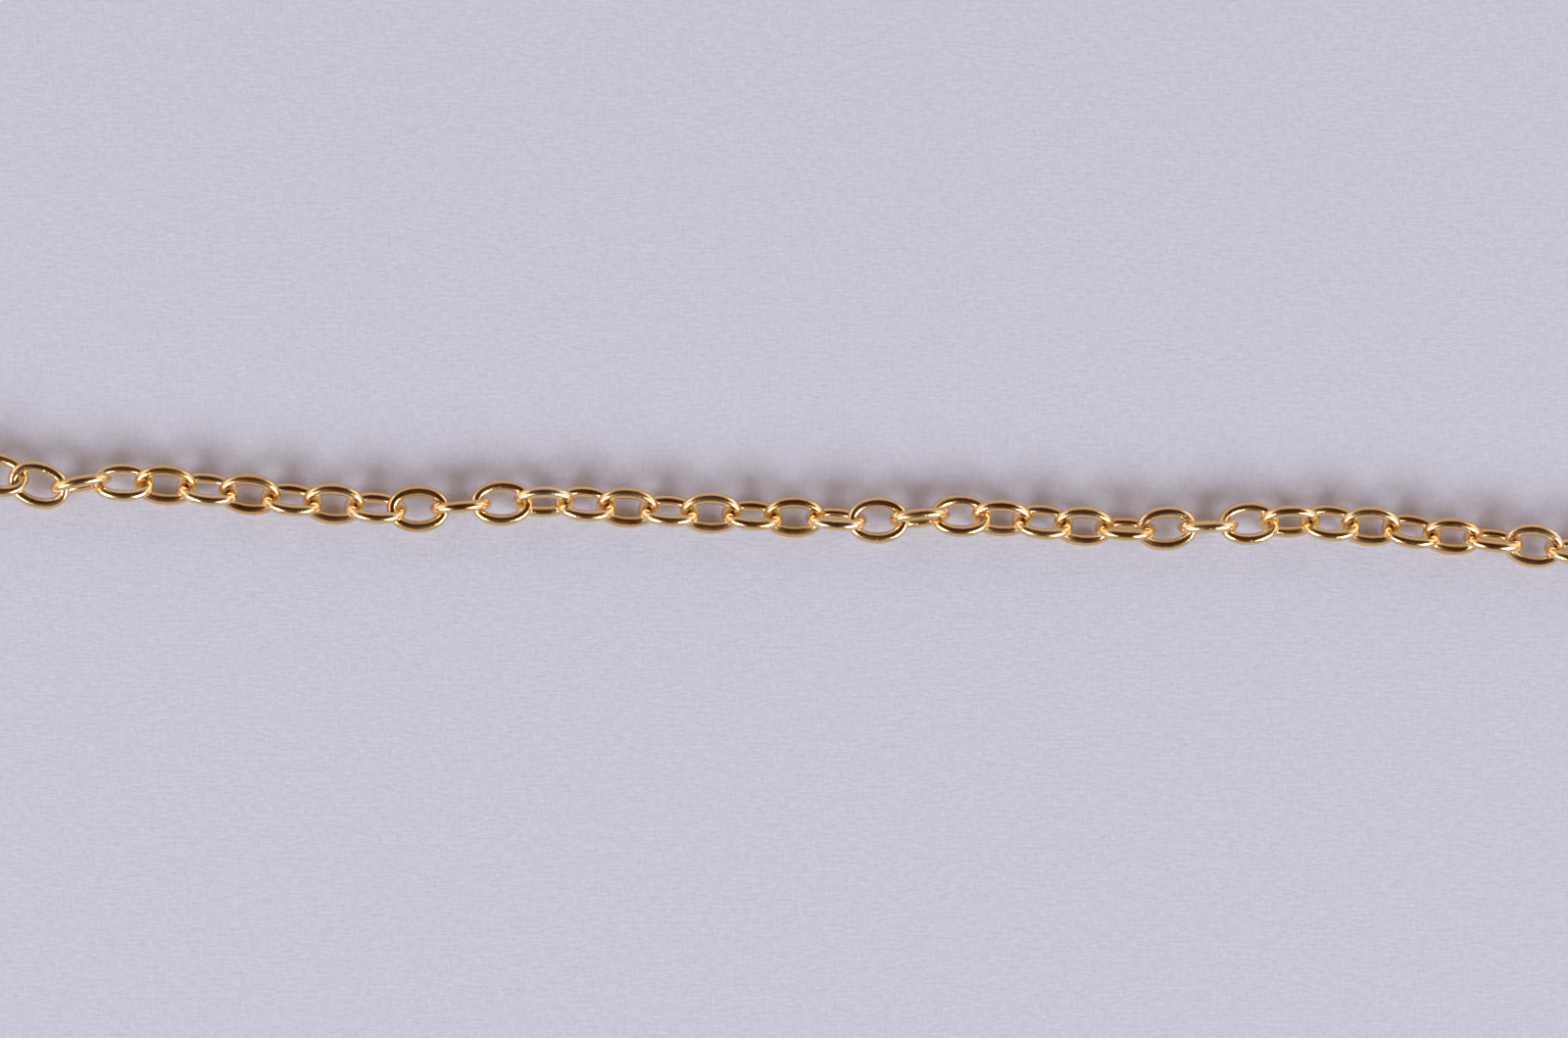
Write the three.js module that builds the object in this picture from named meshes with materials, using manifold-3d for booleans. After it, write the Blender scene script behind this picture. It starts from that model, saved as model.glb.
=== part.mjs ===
import * as THREE from 'three';
import { mergeVertices } from 'three/addons/utils/BufferGeometryUtils.js';
import Module from 'manifold-3d';

// Chain anklet, lying closed on a surface. Millimetres, +Z up, z = 0 is the surface.

const linkWidth = 1.96;       // outside width of one chain link, which is the tube's thickness
const chainSteps = 72;        // sections along the tube, a little under two widths apart

const claspY = -22.6;         // the straight run that holds the jump ring and the clasp
const firstLinkX = -5.0;      // centre of the link in the jump ring
const lastLinkX = 5.2;        // centre of the link in the clasp's eye

const jumpRing = { ringRadius: 1.7, wireRadius: 0.33, lean: 50, x: -2.83 };
const springRing = { ringRadius: 2.45, tubeRadius: 0.55, x: 0.33, z: 1.36, pitch: 6.33 };
const eye = { ringRadius: 0.85, wireRadius: 0.27, offset: 3.5 };
const thumbKnob = { radius: 0.3, inner: 2.7, outer: 3.3, angle: 120 };

const gold = new THREE.MeshStandardMaterial({ color: 0xe8bd72, roughness: 0.18, metalness: 1.0 });
const rad = THREE.MathUtils.degToRad;

// The chain's route from the jump ring round to the clasp, clockwise seen from above:
// the run back on the left, the long slightly wavy side, and the run back on the right.
const leftRun = [
  [firstLinkX, claspY], [-12.0, -22.3], [-21.5, -20.4], [-31.0, -16.6], [-39.8, -10.2],
  [-46.2, -1.8], [-48.9, 7.6], [-47.2, 16.6], [-42.2, 22.4], [-36.6, 24.6],
];
const longSide = [
  [-32.2, 24.06], [-30.3, 23.58], [-28.5, 23.82], [-25.6, 23.72], [-22.1, 23.32],
  [-18.6, 22.92], [-15.2, 22.7], [-11.7, 22.95], [-9.0, 22.98], [-4.8, 22.65],
  [0.5, 22.38], [4.0, 22.22], [7.4, 22.42], [10.8, 22.18], [14.3, 21.87],
  [17.8, 21.97], [21.3, 22.18], [24.7, 22.0], [28.3, 21.55], [31.9, 21.12],
];
const rightRun = [
  [37.6, 19.9], [43.8, 16.6], [48.4, 10.4], [49.3, 2.6], [45.9, -5.9],
  [38.8, -13.2], [29.0, -18.5], [18.6, -21.6], [10.6, -22.5], [lastLinkX, claspY],
];

function chainRoute() {
  const points = [...leftRun, ...longSide, ...rightRun]
    .map(([x, y]) => new THREE.Vector3(x, y, linkWidth / 2));
  return new THREE.CatmullRomCurve3(points, false, 'catmullrom', 0.5);
}

// An octagon standing on one of its flats, as wide as a link.
function tubeSection() {
  const cornerRadius = linkWidth / 2 / Math.cos(Math.PI / 8);
  const section = new THREE.Shape();
  for (let corner = 0; corner < 8; corner += 1) {
    const angle = (corner + 0.5) * Math.PI / 4;
    const x = cornerRadius * Math.cos(angle);
    const y = cornerRadius * Math.sin(angle);
    if (corner === 0) section.moveTo(x, y);
    else section.lineTo(x, y);
  }
  section.closePath();
  return section;
}

function chainGeometry() {
  return new THREE.ExtrudeGeometry(tubeSection(), { steps: chainSteps, extrudePath: chainRoute() });
}

// three.js geometry to and from a manifold solid.
const wasm = await Module();
wasm.setup();

function toSolid(geometry) {
  const bare = geometry.clone();
  bare.deleteAttribute('normal');
  bare.deleteAttribute('uv');
  const merged = mergeVertices(bare, 1e-5);
  return new wasm.Manifold(new wasm.Mesh({
    numProp: 3,
    vertProperties: new Float32Array(merged.attributes.position.array),
    triVerts: new Uint32Array(merged.index.array),
  }));
}

function toGeometry(solid) {
  const mesh = solid.getMesh();
  const geometry = new THREE.BufferGeometry();
  geometry.setAttribute('position', new THREE.BufferAttribute(mesh.vertProperties, 3));
  geometry.setIndex(new THREE.BufferAttribute(mesh.triVerts, 1));
  geometry.computeVertexNormals();
  return geometry;
}

// Spring ring, its soldered eye and its thumb knob, one solid lying in its own XY plane.
function claspGeometry() {
  const ring = new THREE.TorusGeometry(springRing.ringRadius, springRing.tubeRadius, 16, 48);
  const loop = new THREE.TorusGeometry(eye.ringRadius, eye.wireRadius, 12, 28);
  loop.translate(eye.offset, 0, 0);

  const stemLength = thumbKnob.outer - thumbKnob.inner;
  const knob = new THREE.CapsuleGeometry(thumbKnob.radius, stemLength, 5, 14);
  knob.rotateZ(Math.PI / 2);
  knob.translate(thumbKnob.inner + stemLength / 2, 0, 0);
  knob.rotateZ(rad(thumbKnob.angle));

  return toGeometry(toSolid(ring).add(toSolid(loop)).add(toSolid(knob)));
}

const chain = new THREE.Mesh(chainGeometry(), gold);
chain.name = 'chain';

// The jump ring leans back on the clasp's tube, its low edge on the surface.
const jumpRingMesh = new THREE.Mesh(
  new THREE.TorusGeometry(jumpRing.ringRadius, jumpRing.wireRadius, 12, 36), gold);
jumpRingMesh.name = 'jump_ring';
jumpRingMesh.rotation.x = rad(jumpRing.lean);
const jumpRingHeight = jumpRing.ringRadius * Math.sin(rad(jumpRing.lean)) + jumpRing.wireRadius;
jumpRingMesh.position.set(jumpRing.x, claspY, jumpRingHeight);

// The clasp lies across the jump ring and the last link, its eye a little lower.
const claspMesh = new THREE.Mesh(claspGeometry(), gold);
claspMesh.name = 'clasp';
claspMesh.rotation.y = rad(springRing.pitch);
claspMesh.position.set(springRing.x, claspY, springRing.z);

const anklet = new THREE.Group();
anklet.add(chain, jumpRingMesh, claspMesh);

export default anklet;
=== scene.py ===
import math
import random

import bpy
from mathutils import Matrix, Quaternion, Vector


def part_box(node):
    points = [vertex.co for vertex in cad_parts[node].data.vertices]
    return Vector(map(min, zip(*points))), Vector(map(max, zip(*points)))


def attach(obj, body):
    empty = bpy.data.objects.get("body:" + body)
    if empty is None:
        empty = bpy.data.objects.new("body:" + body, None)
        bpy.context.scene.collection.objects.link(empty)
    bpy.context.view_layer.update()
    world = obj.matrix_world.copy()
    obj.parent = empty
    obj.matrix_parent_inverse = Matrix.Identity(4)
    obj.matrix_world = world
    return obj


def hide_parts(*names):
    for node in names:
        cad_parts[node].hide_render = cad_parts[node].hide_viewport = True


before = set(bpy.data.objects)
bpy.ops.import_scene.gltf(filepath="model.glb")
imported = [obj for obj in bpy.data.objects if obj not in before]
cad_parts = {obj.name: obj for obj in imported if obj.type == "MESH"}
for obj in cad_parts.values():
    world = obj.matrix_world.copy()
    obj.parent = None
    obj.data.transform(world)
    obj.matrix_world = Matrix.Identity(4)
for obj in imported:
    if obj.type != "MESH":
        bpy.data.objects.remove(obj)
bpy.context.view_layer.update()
mm = 0.001


# small helpers

def deselectAll():
    bpy.ops.object.select_all(action="DESELECT")


def selectOnly(piece):
    deselectAll()
    piece.select_set(True)
    bpy.context.view_layer.objects.active = piece


def placeInMesh(piece):  # the object goes back to the origin and its place goes into the mesh
    piece.data.transform(piece.matrix_world)
    piece.matrix_world = Matrix.Identity(4)


def linearFromHex(hexColour):
    channels = [int(hexColour[i:i + 2], 16) / 255 for i in (1, 3, 5)]
    return [c / 12.92 if c <= 0.04045 else ((c + 0.055) / 1.055) ** 2.4 for c in channels] + [1.0]


def directionFrom(azimuth, elevation):  # azimuth 0 is the clasp side, elevation is above the surface
    a, e = math.radians(azimuth), math.radians(elevation)
    return Vector((math.sin(a) * math.cos(e), -math.cos(a) * math.cos(e), math.sin(e)))


# camera

shot = {
    "aim": (0.0, 22.3, 0.8),   # mm, the middle of the long side
    "azimuth": -37.0,          # degrees
    "elevation": 79.4,
    "distance": 290.4,         # mm
    "lens": 105.0,
    "sensor": 23.6,
}


def placeCamera():
    aim = Vector(shot["aim"]) * mm
    back = directionFrom(shot["azimuth"], shot["elevation"])
    deselectAll()
    bpy.ops.object.camera_add(location=aim + back * shot["distance"] * mm)
    camera = bpy.context.object
    look = (-back).to_track_quat("-Z", "Y")
    across = look.inverted() @ Vector((1, 0, 0))  # the loop's long way, as the camera sees it
    level = Quaternion((0, 0, 1), math.atan2(across.y, across.x))
    camera.rotation_euler = (look @ level).to_euler()
    camera.data.lens = shot["lens"]
    camera.data.sensor_width = shot["sensor"]
    camera.data.clip_start = 0.01
    bpy.context.scene.camera = camera


placeCamera()
print("camera placed")


# materials

def addNode(tree, kind, settings=None, links=None):  # settings go on the node or its sockets
    node = tree.nodes.new(kind)
    for name, value in (settings or {}).items():
        if hasattr(node, name):
            setattr(node, name, value)
        else:
            node.inputs[name].default_value = value
    for name, source in (links or {}).items():
        tree.links.new(source, node.inputs[name])
    return node


goldFinish = {
    "plate": "#F5D29A",           # pale yellow gold, where the plate is clean
    "deep": "#EBBF7B",            # a richer tone, link by link
    "roughness": (0.17, 0.29),
    "cloudSize": 1.3 * mm,        # patches where the polish is duller
    "grainSize": 0.085 * mm,      # fine pits left by tumbling, drawn coarser than real so they show
    "grainDepth": 0.0052 * mm,

    "lacquer": 0.35,
}


def goldPlate(name, settings):
    material = bpy.data.materials.new(name)
    material.use_nodes = True
    tree = material.node_tree
    shader = tree.nodes["Principled BSDF"]
    shader.inputs["Metallic"].default_value = 1.0
    # the thin lacquer puts a white glint over the yellow highlights
    shader.inputs["Coat Weight"].default_value = settings["lacquer"]
    shader.inputs["Coat Roughness"].default_value = 0.12
    place = addNode(tree, "ShaderNodeTexCoord").outputs["Object"]
    # each link is a slightly different yellow, so the chain doesn't look stamped
    tone = addNode(tree, "ShaderNodeAttribute", {"attribute_name": "linkTone"})
    colour = addNode(tree, "ShaderNodeMix", {"data_type": "RGBA"}, {0: tone.outputs["Fac"]})
    colour.inputs[6].default_value = linearFromHex(settings["plate"])
    colour.inputs[7].default_value = linearFromHex(settings["deep"])
    tree.links.new(colour.outputs[2], shader.inputs["Base Color"])
    # soft clouds in the polish break up the long reflections
    cloud = addNode(tree, "ShaderNodeTexNoise", {"Scale": 1 / settings["cloudSize"], "Detail": 3.0},
                    {"Vector": place})
    dull = addNode(tree, "ShaderNodeMapRange", {"From Min": 0.3, "From Max": 0.7},
                   {"Value": cloud.outputs["Fac"]})
    dull.inputs["To Min"].default_value, dull.inputs["To Max"].default_value = settings["roughness"]
    tree.links.new(dull.outputs["Result"], shader.inputs["Roughness"])
    # pits give the highlights their grainy sparkle
    grain = addNode(tree, "ShaderNodeTexNoise", {"Scale": 1 / settings["grainSize"], "Detail": 2.0},
                    {"Vector": place})
    pits = addNode(tree, "ShaderNodeBump", {"Strength": 1.0, "Distance": settings["grainDepth"]},
                   {"Height": grain.outputs["Fac"]})
    tree.links.new(pits.outputs["Normal"], shader.inputs["Normal"])
    return material


# chain

route = {
    "leftRun": [
        (-0.0050, -0.0226), (-0.0120, -0.0223), (-0.0215, -0.0204), (-0.0310, -0.0166), (-0.0398, -0.0102),
        (-0.0462, -0.0018), (-0.0489, 0.0076), (-0.0472, 0.0166), (-0.0422, 0.0224), (-0.0366, 0.0246),
    ],
    "longSide": [
        (-0.0322, 0.02406), (-0.0303, 0.02358), (-0.0285, 0.02382), (-0.0256, 0.02372), (-0.0221, 0.02332),
        (-0.0186, 0.02292), (-0.0152, 0.0227), (-0.0117, 0.02295), (-0.0090, 0.02298), (-0.0048, 0.02265),
        (0.0005, 0.02238), (0.0040, 0.02222), (0.0074, 0.02242), (0.0108, 0.02218), (0.0143, 0.02187),
        (0.0178, 0.02197), (0.0213, 0.02218), (0.0247, 0.0220), (0.0283, 0.02155), (0.0319, 0.02112),
    ],
    "rightRun": [
        (0.0376, 0.0199), (0.0438, 0.0166), (0.0484, 0.0104), (0.0493, 0.0026), (0.0459, -0.0059),
        (0.0388, -0.0132), (0.0290, -0.0185), (0.0186, -0.0216), (0.0106, -0.0225), (0.0052, -0.0226),
    ],
}

link = {
    "count": 135,
    "length": 2.61 * mm,
    "width": 1.96 * mm,
    "wire": 0.485 * mm,
    "endWear": 0.89,           # the wire is a little thinner where links pull on each other
    "seamWidth": 0.06 * mm,    # the soldered joint, a shallow groove across one arm
    "seamDepth": 0.98,
    "firstInView": 49,
    "endLift": [0.78 * mm, 0.50 * mm, 0.27 * mm, 0.11 * mm, 0.03 * mm],  # up to the jump ring
    # how the chain twists as it lies: each row turns the links from that one on, in degrees
    "lay": [
        (0, 130), (8, 135), (40, 135), (46, 150), (49, 163), (50, 112), (51, 92), (52, 56), (53, 45), (58, 43),
        (59, 13), (60, 10), (61, -6), (62, -26), (63, -38), (64, -46), (68, -49), (69, -63), (70, -82),
        (71, -94), (72, -109), (73, -126), (75, -134), (76, -151), (77, -153), (78, -170), (79, -196),
        (80, -207), (82, -224), (84, -218), (85, -240), (87, -236), (95, -225), (125, -225), (134, -180),
    ],
}


def smoothRoute(stepsBetween=40):  # the same curve that the chain's tube follows
    points = [Vector((x, y, 0)) for x, y in route["leftRun"] + route["longSide"] + route["rightRun"]]
    ends = [2 * points[0] - points[1]] + points + [2 * points[-1] - points[-2]]
    line = []
    for a, b, c, d in zip(ends, ends[1:], ends[2:], ends[3:]):
        for step in range(stepsBetween):
            t = step / stepsBetween
            line.append(0.5 * (2 * b + (c - a) * t + (2 * a - 5 * b + 4 * c - d) * t * t
                               + (3 * b - a - 3 * c + d) * t ** 3))
    line.append(points[-1])
    return line


def spotsAlong(line, count):  # evenly spaced places and directions
    reach = [0.0]
    for a, b in zip(line, line[1:]):
        reach.append(reach[-1] + (b - a).length)
    spots, at = [], 0
    for i in range(count):
        want = reach[-1] * i / (count - 1)
        while at < len(line) - 2 and reach[at + 1] < want:
            at += 1
        part = (want - reach[at]) / (reach[at + 1] - reach[at])
        spots.append((line[at].lerp(line[at + 1], part), (line[at + 1] - line[at]).normalized()))
    return spots


def layOf(number):
    rows = link["lay"]
    for (a, turnA), (b, turnB) in zip(rows, rows[1:]):
        if a <= number <= b:
            return turnA + (turnB - turnA) * (number - a) / (b - a)
    return rows[-1][1]


def selectVertices(piece, wanted):
    bpy.ops.object.mode_set(mode="EDIT")
    bpy.ops.mesh.select_mode(type="VERT")
    bpy.ops.mesh.select_all(action="DESELECT")
    bpy.ops.object.mode_set(mode="OBJECT")
    for vertex in piece.data.vertices:
        vertex.select = wanted(vertex.co)
    bpy.ops.object.mode_set(mode="EDIT")


def cutSeam(piece, armDistance):
    bpy.ops.object.mode_set(mode="EDIT")
    bpy.ops.mesh.select_mode(type="VERT")
    bpy.ops.mesh.select_all(action="SELECT")
    bpy.ops.mesh.remove_doubles(threshold=1e-7)
    selectVertices(piece, lambda at: abs(at.x) < 1e-6 and at.y > 0)
    bpy.ops.mesh.select_mode(type="EDGE")
    bpy.ops.mesh.bevel(offset=link["seamWidth"] / 2, segments=2, affect="EDGES")
    selectVertices(piece, lambda at: abs(at.x) < 1e-6 and at.y > 0)
    bpy.ops.transform.resize(value=(1, link["seamDepth"], link["seamDepth"]),
                             center_override=(0, armDistance, 0))
    bpy.ops.object.mode_set(mode="OBJECT")


def liftOf(number):
    return link["endLift"][number] if 0 <= number < len(link["endLift"]) else 0.0


def makeLink(name, stepsQuarter, wireRounding):
    deselectAll()
    bpy.ops.curve.primitive_bezier_circle_add(radius=1)
    made = bpy.context.object
    made.name = name
    bpy.ops.object.mode_set(mode="EDIT")
    bpy.ops.curve.select_all(action="SELECT")
    halfLong = (link["length"] - link["wire"] * link["endWear"]) / 2
    halfWide = (link["width"] - link["wire"]) / 2
    bpy.ops.transform.resize(value=(halfLong, halfWide, 1))
    for point in made.data.splines[0].bezier_points:
        atEnd = abs(point.co.x) > halfLong / 2
        point.select_control_point = atEnd
        point.select_left_handle = point.select_right_handle = atEnd
    bpy.ops.curve.radius_set(radius=link["endWear"])
    bpy.ops.object.mode_set(mode="OBJECT")
    made.data.splines[0].radius_interpolation = "EASE"
    made.data.dimensions = "3D"
    made.data.resolution_u = stepsQuarter
    made.data.bevel_depth = link["wire"] / 2
    made.data.bevel_resolution = wireRounding
    bpy.ops.object.convert(target="MESH")
    made = bpy.context.object
    cutSeam(made, halfWide)
    bpy.ops.object.shade_smooth()
    return made


def layLinks(name, pattern, numbers, spots, material):
    wireHalf = link["wire"] / 2
    armHalf = link["width"] / 2 - wireHalf
    pitch = (spots[1][0] - spots[0][0]).length
    copies = []
    for number in numbers:
        place, along = spots[number]
        chance = random.Random(number)  # the same little differences every run
        twist = layOf(number) + chance.uniform(-1.5, 1.5)
        turn = math.radians(twist - (0 if number % 2 == link["firstInView"] % 2 else 90))
        lay = math.radians(twist)
        height = armHalf * max(abs(math.sin(lay)), abs(math.cos(lay))) + wireHalf + liftOf(number)
        climb = (liftOf(number + 1) - liftOf(number)) / pitch
        across = Vector((-along.y, along.x, 0))
        along = (along + Vector((0, 0, climb))).normalized()
        upward = along.cross(across).normalized() * -1 if along.cross(across).z < 0 else along.cross(across)
        wide = across * math.cos(turn) + upward * math.sin(turn)
        basis = Matrix((along, wide, along.cross(wide))).transposed().to_4x4()
        copy = bpy.data.objects.new(f"{name}_{number}", pattern.data.copy())
        bpy.context.scene.collection.objects.link(copy)
        copy.data.transform(Matrix.Translation(place + Vector((0, 0, height))) @ basis)
        tone = copy.data.attributes.new("linkTone", "FLOAT", "POINT")
        tone.data.foreach_set("value", [chance.random()] * len(copy.data.vertices))
        copies.append(copy)
    deselectAll()
    for copy in copies:
        copy.select_set(True)
    bpy.context.view_layer.objects.active = copies[0]
    bpy.ops.object.join()
    chainPart = bpy.context.object
    chainPart.name = name
    chainPart.data.materials.clear()
    chainPart.data.materials.append(material)
    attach(chainPart, "root")
    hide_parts("chain")
    return chainPart


wireGold = goldPlate("goldPlatedDrawnWire", goldFinish)
spots = spotsAlong(smoothRoute(), link["count"])
pattern = makeLink("linkPattern", 12, 5)
print("link has", len(pattern.data.vertices), "vertices, uv", [layer.name for layer in pattern.data.uv_layers])
layLinks("chain_long_side", pattern, range(42, 94), spots, wireGold)
layLinks("chain_left_run", pattern, range(0, 42), spots, wireGold)
layLinks("chain_right_run", pattern, range(94, link["count"]), spots, wireGold)
bpy.data.objects.remove(pattern)
print("chain laid,", link["count"], "links")


# jump ring

jumpRing = {
    "wire": 0.66 * mm,
    "lean": 50.0,              # degrees, back over the clasp's tube
    "gapAngle": 320.0,         # where its cut ends meet
    "gapWidth": 0.06 * mm,
    "gapDepth": 0.86,
}


def finishPiece(piece, node, material):
    selectOnly(piece)
    placeInMesh(piece)
    piece.data.materials.clear()
    piece.data.materials.append(material)
    bpy.ops.object.shade_smooth_by_angle(angle=math.radians(40))
    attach(piece, "root")
    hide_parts(node)


def angleOf(at):
    return math.degrees(math.atan2(at.y, at.x)) % 360


def makeJumpRing(material):
    low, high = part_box("jump_ring")
    wireHalf = jumpRing["wire"] / 2
    ringRadius = (high.x - low.x) / 2 - wireHalf
    deselectAll()
    bpy.ops.mesh.primitive_torus_add(major_radius=ringRadius, minor_radius=wireHalf,
                                     major_segments=72, minor_segments=20)
    ring = bpy.context.object
    ring.name = "jump_ring_cut_wire"
    # the cut ends: one loop of edges becomes a narrow groove
    cut = jumpRing["gapAngle"]
    selectVertices(ring, lambda at: abs(angleOf(at) - cut) < 1)
    bpy.ops.mesh.select_mode(type="EDGE")
    bpy.ops.mesh.bevel(offset=jumpRing["gapWidth"] / 2, segments=2, affect="EDGES")
    selectVertices(ring, lambda at: abs(angleOf(at) - cut) < 0.4)
    middle = Vector((math.cos(math.radians(cut)), math.sin(math.radians(cut)), 0)) * ringRadius
    bpy.ops.transform.resize(value=[jumpRing["gapDepth"]] * 3, center_override=middle)
    bpy.ops.object.mode_set(mode="OBJECT")
    lean = Matrix.Rotation(math.radians(jumpRing["lean"]), 4, "X")
    ring.matrix_world = Matrix.Translation((low + high) / 2) @ lean
    finishPiece(ring, "jump_ring", material)


# clasp

clasp = {
    "ring": 2.45 * mm,          # to the middle of its tube
    "tube": 0.55 * mm,
    "pitch": 6.33,              # degrees, the eye end is lower
    "boltFrom": 62.0,           # where the bolt shows between the ends of the tube
    "boltTo": 112.0,
    "bolt": 0.43 * mm,
    "lip": (0.96, 0.92),        # the tube's ends are rolled in a little, in two steps
    "lipStep": 0.04 * mm,
    "slotTo": 150.0,            # the thumb knob slides back along this slot
    "slotWidth": 0.34 * mm,
    "slotDepth": 0.16 * mm,
    "knobAngle": 120.0,
    "knobStem": 0.2 * mm,
    "knobHead": 0.3 * mm,
    "knobReach": 3.6 * mm,
    "eye": 0.85 * mm,
    "eyeWire": 0.27 * mm,
    "eyeOffset": 3.5 * mm,
    "solder": (0.24 * mm, 0.46 * mm, 0.30 * mm),
}


def onRing(angle, radius):
    return Vector((math.cos(math.radians(angle)), math.sin(math.radians(angle)), 0)) * radius


def makeTube():  # the ring's tube, left open where the bolt shows
    deselectAll()
    bpy.ops.mesh.primitive_torus_add(major_radius=clasp["ring"], minor_radius=clasp["tube"],
                                     major_segments=180, minor_segments=28)
    tube = bpy.context.object
    selectVertices(tube, lambda at: clasp["boltFrom"] - 0.5 < angleOf(at) < clasp["boltTo"] + 0.5)
    bpy.ops.mesh.select_mode(type="FACE")
    bpy.ops.mesh.delete(type="FACE")
    for end, inward in ((clasp["boltFrom"], 1), (clasp["boltTo"], -1)):
        selectVertices(tube, lambda at: abs(angleOf(at) - end) < 0.5)
        for scale in clasp["lip"]:
            bpy.ops.mesh.extrude_edges_move()
            bpy.ops.transform.resize(value=[scale] * 3, center_override=onRing(end, clasp["ring"]))
            bpy.ops.transform.translate(value=onRing(end + 90, clasp["lipStep"] * inward))
        bpy.ops.mesh.edge_face_add()
    bpy.ops.mesh.select_all(action="SELECT")
    bpy.ops.mesh.normals_make_consistent(inside=False)
    bpy.ops.object.mode_set(mode="OBJECT")
    # the slot, cut from the outside of the tube
    middle = (clasp["knobAngle"] + clasp["slotTo"]) / 2
    span = math.radians(clasp["slotTo"] - clasp["knobAngle"]) * (clasp["ring"] + clasp["tube"])
    deselectAll()
    bpy.ops.mesh.primitive_cube_add(size=1, location=onRing(middle, clasp["ring"] + clasp["tube"]),
                                    rotation=(0, 0, math.radians(middle)))
    cutter = bpy.context.object
    cutter.scale = (clasp["slotDepth"] * 2, span, clasp["slotWidth"])
    selectOnly(tube)
    cut = tube.modifiers.new("slot", "BOOLEAN")
    cut.object = cutter
    cut.operation = "DIFFERENCE"
    bpy.ops.object.modifier_apply(modifier="slot")
    bpy.data.objects.remove(cutter)
    return tube


def makeBolt():
    deselectAll()
    bpy.ops.mesh.primitive_torus_add(major_radius=clasp["ring"], minor_radius=clasp["bolt"],
                                     major_segments=120, minor_segments=20)
    bolt = bpy.context.object
    keepFrom, keepTo = clasp["boltFrom"] - 8, clasp["slotTo"] + 8
    selectVertices(bolt, lambda at: not keepFrom < angleOf(at) < keepTo)
    bpy.ops.mesh.delete(type="VERT")
    bpy.ops.mesh.select_all(action="SELECT")
    bpy.ops.mesh.fill_holes(sides=0)
    bpy.ops.object.mode_set(mode="OBJECT")
    return bolt


def makeKnob():
    deselectAll()
    stem = clasp["knobReach"] - clasp["ring"]
    bpy.ops.mesh.primitive_cylinder_add(vertices=28, radius=clasp["knobStem"], depth=stem,
                                        location=(0, 0, clasp["ring"] + stem / 2))
    knob = bpy.context.object
    placeInMesh(knob)
    selectVertices(knob, lambda at: at.z > clasp["knobReach"] - 0.01 * mm)
    # a wider head: down a little, out, up, and rounded over
    grow = clasp["knobHead"] / clasp["knobStem"]
    top = Vector((0, 0, clasp["knobReach"]))
    bpy.ops.transform.translate(value=(0, 0, -0.42 * mm))
    for rise, scale in ((0.06, grow), (0.24, 1.0), (0.08, 0.86), (0.04, 0.6)):
        bpy.ops.mesh.extrude_region_move(TRANSFORM_OT_translate={"value": (0, 0, rise * mm)})
        bpy.ops.transform.resize(value=(scale, scale, 1), center_override=top)
    bpy.ops.object.mode_set(mode="OBJECT")
    knob.matrix_world = (Matrix.Rotation(math.radians(clasp["knobAngle"]), 4, "Z")
                         @ Matrix.Rotation(math.radians(90), 4, "Y"))
    placeInMesh(knob)
    return knob


def makeEye():
    deselectAll()
    bpy.ops.mesh.primitive_torus_add(major_radius=clasp["eye"], minor_radius=clasp["eyeWire"],
                                     major_segments=56, minor_segments=18,
                                     location=(clasp["eyeOffset"], 0, 0))
    eye = bpy.context.object
    placeInMesh(eye)
    deselectAll()
    bpy.ops.mesh.primitive_uv_sphere_add(segments=28, ring_count=16, radius=1,
                                         location=(clasp["ring"] + clasp["tube"] * 0.86, 0, 0))
    solder = bpy.context.object
    solder.scale = clasp["solder"]
    selectOnly(eye)
    weld = eye.modifiers.new("solder", "BOOLEAN")
    weld.object = solder
    weld.operation = "UNION"
    bpy.ops.object.modifier_apply(modifier="solder")
    bpy.data.objects.remove(solder)
    return eye


def makeClasp(material):
    pieces = [makeTube(), makeBolt(), makeKnob(), makeEye()]
    deselectAll()
    for piece in pieces:
        piece.select_set(True)
    bpy.context.view_layer.objects.active = pieces[0]
    bpy.ops.object.join()
    made = bpy.context.object
    made.name = "clasp_spring_ring"
    bpy.ops.object.mode_set(mode="EDIT")
    bpy.ops.mesh.select_all(action="SELECT")
    bpy.ops.mesh.normals_make_consistent(inside=False)
    bpy.ops.object.mode_set(mode="OBJECT")
    low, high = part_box("clasp")
    pitch = math.radians(clasp["pitch"])
    centre = Vector((low.x + clasp["tube"] + clasp["ring"] * math.cos(pitch), (low.y + high.y) / 2,
                     high.z - clasp["tube"] - clasp["ring"] * math.sin(pitch)))
    made.matrix_world = Matrix.Translation(centre) @ Matrix.Rotation(pitch, 4, "Y")
    finishPiece(made, "clasp", material)


castGold = goldPlate("goldPlatedPolishedBrass", {**goldFinish, "roughness": (0.14, 0.24)})
makeJumpRing(castGold)
makeClasp(castGold)
print("jump ring and clasp made")


# surface and light

surface = {
    "colour": "#E0DAE2",
    "fibreColour": "#D6D1D9",
    "size": 4.0,
    "fibreLength": 0.42 * mm,  # bunches of fibre, coarser than single fibres so they show
    "fibreWidth": 0.13 * mm,
}


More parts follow.
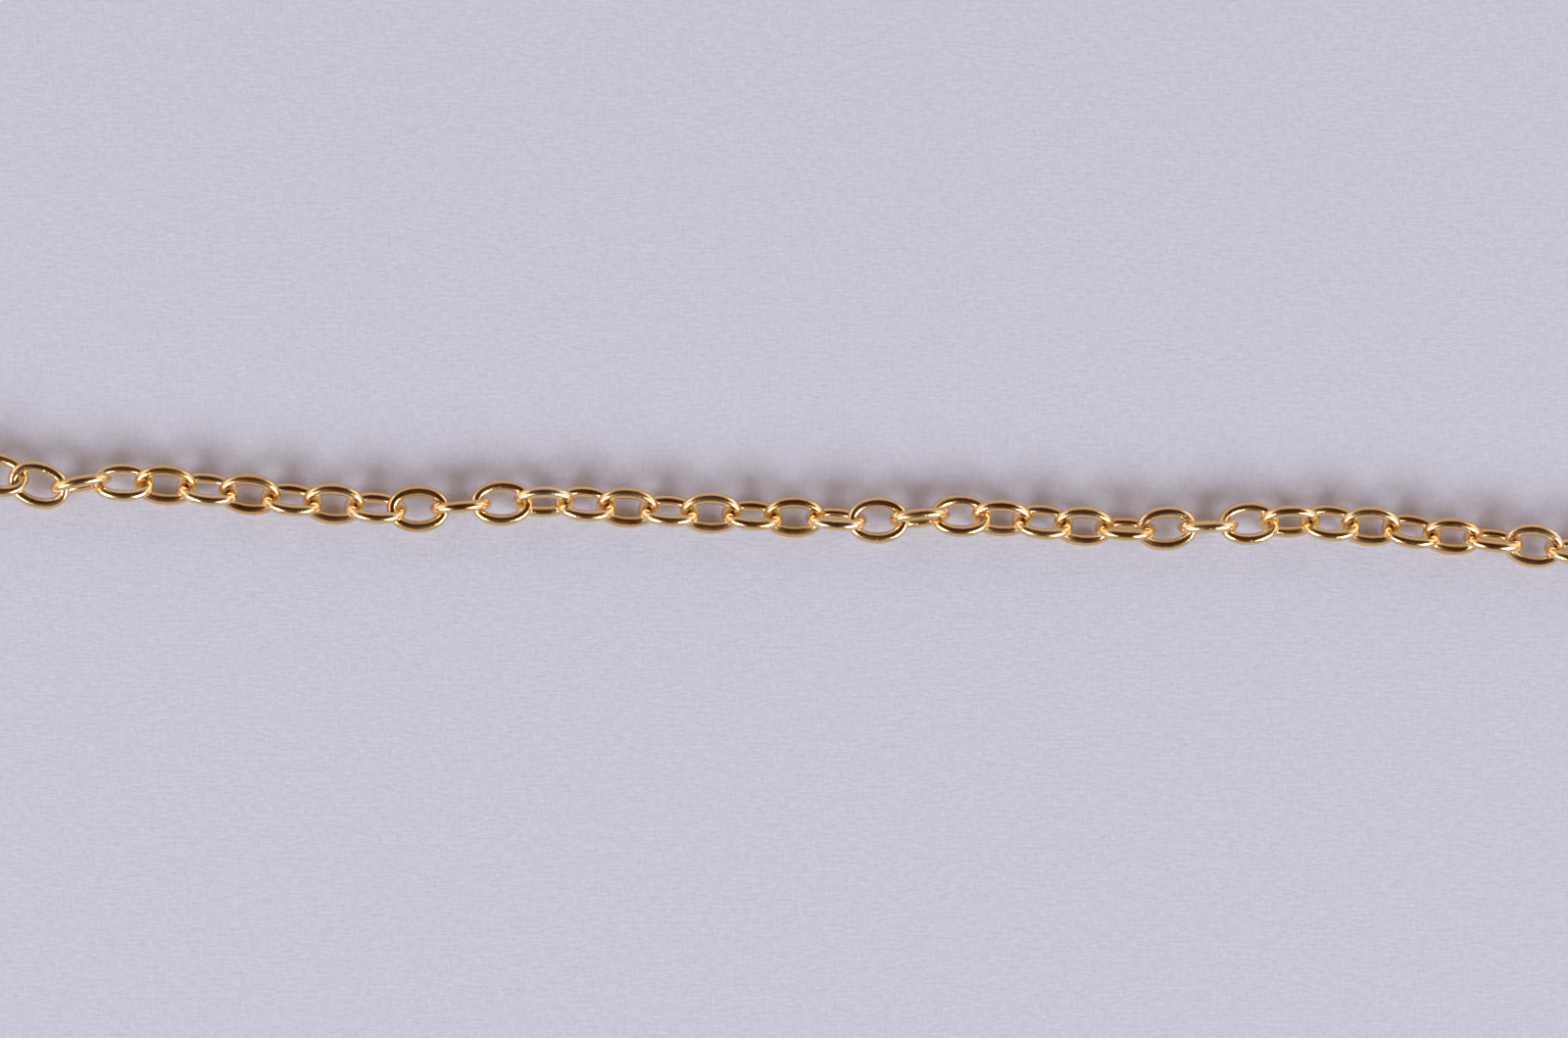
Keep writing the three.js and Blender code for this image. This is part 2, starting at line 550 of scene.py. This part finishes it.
def makeSurface():
    deselectAll()
    bpy.ops.mesh.primitive_plane_add(size=surface["size"])
    floor = bpy.context.object
    floor.name = "surface"
    material = bpy.data.materials.new("paleMattPaper")
    material.use_nodes = True
    tree = material.node_tree
    shader = tree.nodes["Principled BSDF"]
    shader.inputs["Roughness"].default_value = 0.9
    shader.inputs["Specular IOR Level"].default_value = 0.2
    # faint fibres, some along and some across, so the paper isn't a flat tone
    place = addNode(tree, "ShaderNodeTexCoord").outputs["Object"]
    long, wide = 1 / surface["fibreLength"], 1 / surface["fibreWidth"]
    height = None
    fibres = []
    for scale in ((long, wide, 1), (wide, long, 1)):
        stretch = addNode(tree, "ShaderNodeMapping", {"Scale": scale}, {"Vector": place})
        fibre = addNode(tree, "ShaderNodeTexNoise", {"Scale": 1.0, "Detail": 3.0},
                        {"Vector": stretch.outputs["Vector"]})
        fibres.append(fibre.outputs["Fac"])
        height = addNode(tree, "ShaderNodeBump", {"Strength": 0.8, "Distance": 0.03 * mm},
                         {"Height": fibre.outputs["Fac"]} | ({"Normal": height} if height else {})
                         ).outputs["Normal"]
    tree.links.new(height, shader.inputs["Normal"])
    # where fibres of both directions bunch the paper is a shade darker
    crossing = addNode(tree, "ShaderNodeMath", {"operation": "ADD"}, {0: fibres[0], 1: fibres[1]})
    bunch = addNode(tree, "ShaderNodeMapRange", {"From Min": 0.75, "From Max": 1.25},
                    {"Value": crossing.outputs["Value"]})
    colour = addNode(tree, "ShaderNodeMix", {"data_type": "RGBA"}, {0: bunch.outputs["Result"]})
    colour.inputs[6].default_value = linearFromHex(surface["colour"])
    colour.inputs[7].default_value = linearFromHex(surface["fibreColour"])
    tree.links.new(colour.outputs[2], shader.inputs["Base Color"])
    floor.data.materials.append(material)


coolDaylight = (0.88, 1.0, 1.14)
warmCard = (1.06, 0.97, 0.96)
lightDistance = 1.2
lights = {
    "leftWindow": {"azimuth": -50, "elevation": 29, "size": (0.70, 0.60), "power": 9.4, "colour": coolDaylight},
    "rightWindow": {"azimuth": 50, "elevation": 29, "size": (0.70, 0.60), "power": 9.4, "colour": coolDaylight},
    "leftCard": {"azimuth": -105, "elevation": 22, "size": (1.1, 0.9), "power": 3.8, "colour": warmCard},
    "rightCard": {"azimuth": 105, "elevation": 22, "size": (1.1, 0.9), "power": 3.8, "colour": warmCard},
    "nearCard": {"azimuth": 0, "elevation": 13, "size": (1.0, 0.56), "power": 0.8, "colour": warmCard},
    "farCard": {"azimuth": 180, "elevation": 22, "size": (4.4, 1.1), "power": 8.0, "colour": warmCard},
}


def placeLights():
    aim = Vector(shot["aim"]) * mm
    for name, set_ in lights.items():
        back = directionFrom(set_["azimuth"], set_["elevation"])
        deselectAll()
        bpy.ops.object.light_add(type="AREA", location=aim + back * lightDistance)
        lamp = bpy.context.object
        lamp.name = name
        lamp.rotation_euler = (-back).to_track_quat("-Z", "Y").to_euler()
        lamp.data.shape = "RECTANGLE"
        lamp.data.size, lamp.data.size_y = set_["size"]
        lamp.data.energy = set_["power"]
        lamp.data.color = set_["colour"]
    world = bpy.data.worlds.new("dimRoom")
    world.use_nodes = True
    world.node_tree.nodes["Background"].inputs["Color"].default_value = (0.045, 0.014, 0.004, 1)
    bpy.context.scene.world = world
    bpy.context.scene.view_settings.view_transform = "Standard"


makeSurface()
placeLights()
print("surface and lights in place")
